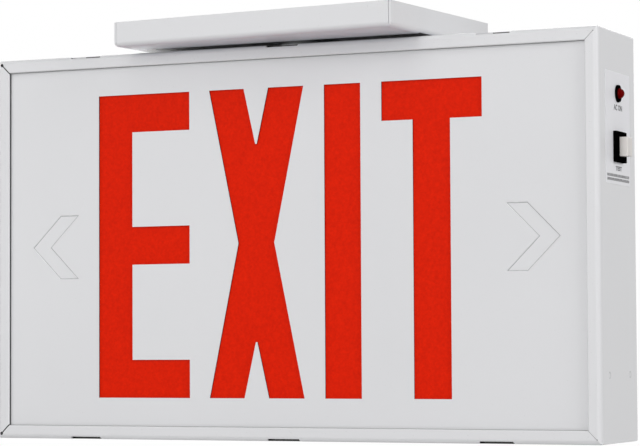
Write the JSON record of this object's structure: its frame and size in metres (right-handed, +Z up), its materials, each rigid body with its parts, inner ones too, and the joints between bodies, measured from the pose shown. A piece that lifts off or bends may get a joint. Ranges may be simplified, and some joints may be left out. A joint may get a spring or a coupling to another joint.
{
  "type": "emergency exit light",
  "caption": "Ceiling-hung exit sign: folded steel box with a stencilled red legend, chevron knockouts, test button, mains lamp, battery and driver inside, and a shallow canopy.",
  "frame": {"origin": "centre of the crossbar's two ceiling-screw slots, on the ceiling plane", "axes": "+X to the right of someone reading the legend, +Y away from them through the sign, +Z up"},
  "size_m": [0.3306, 0.1168, 0.2077],
  "materials": {
    "white_enamel": "semi-gloss baked enamel on folded steel sheet",
    "red_acrylic": "translucent red sheet with a fine grain",
    "zinc_steel": "zinc plated",
    "spring_steel": "dull spring steel",
    "green_screw_paint": "green dye over zinc",
    "black_nylon": "matt moulded",
    "black_rubber": "matt",
    "green_laminate": "solder mask on glass laminate",
    "white_laminate": "white solder mask on metal-backed board",
    "led_phosphor": "cast resin",
    "brass_post": "turned",
    "core_iron": "varnished laminations",
    "winding_tape": "polyester tape",
    "black_component": "moulded, matt",
    "relay_case": "moulded case",
    "capacitor_can": "sleeved can",
    "terminal_green": "moulded",
    "socket_nylon": "natural nylon",
    "battery_sleeve": "shrink sleeve",
    "label_paper": "satin laminated label",
    "white_plastic": "moulded, satin",
    "black_holder": "moulded",
    "red_lens": "clear cast resin",
    "lead_insulation": "pvc insulation"
  },
  "bodies": {
    "housing": {"housing_frame": "white_enamel", "face_plate": "white_enamel", "back_plate": "white_enamel", "red_panel": "red_acrylic", "panel_retainers": "spring_steel", "canopy": "white_enamel", "mounting_crossbar": "zinc_steel", "ground_screw": "green_screw_paint", "crossbar_locknut": "zinc_steel", "canopy_washer": "zinc_steel", "canopy_locknut": "zinc_steel", "spacer_washer": "zinc_steel", "threaded_nipple": "zinc_steel", "housing_locknut": "zinc_steel", "wire_bushing": "black_nylon", "reflector_tray": "white_enamel", "tray_grommet": "black_rubber", "led_board_upper": "white_laminate", "led_board_lower": "white_laminate", "led_chips_upper": "led_phosphor", "led_chips_lower": "led_phosphor", "led_board_screws": "zinc_steel", "driver_board": "green_laminate", "board_standoffs": "brass_post", "board_screws": "zinc_steel", "transformer_core": "core_iron", "transformer_winding": "winding_tape", "relay": "relay_case", "voltage_regulator": "black_component", "filter_capacitors": "capacitor_can", "supply_terminal_block": "terminal_green", "lead_sockets": "socket_nylon", "battery_pack": "battery_sleeve", "battery_strap": "zinc_steel", "strap_screws": "zinc_steel", "side_label": "label_paper", "switch_body": "black_holder", "switch_clip": "spring_steel", "switch_terminals": "brass_post", "lamp_holder": "black_holder", "indicator_lamp": "red_lens", "lamp_ring": "black_nylon", "battery_leads": "lead_insulation", "led_leads": "lead_insulation", "switch_leads": "lead_insulation", "lamp_leads": "lead_insulation"},
    "button": {"test_button": "white_plastic"}
  },
  "joints": [
    {"name": "button_press", "type": "slide", "parent": "housing", "child": "button", "axis": [-1, 0, 0], "range_m": [0, 0.0025], "stiffness_N_per_m": 400}
  ]
}
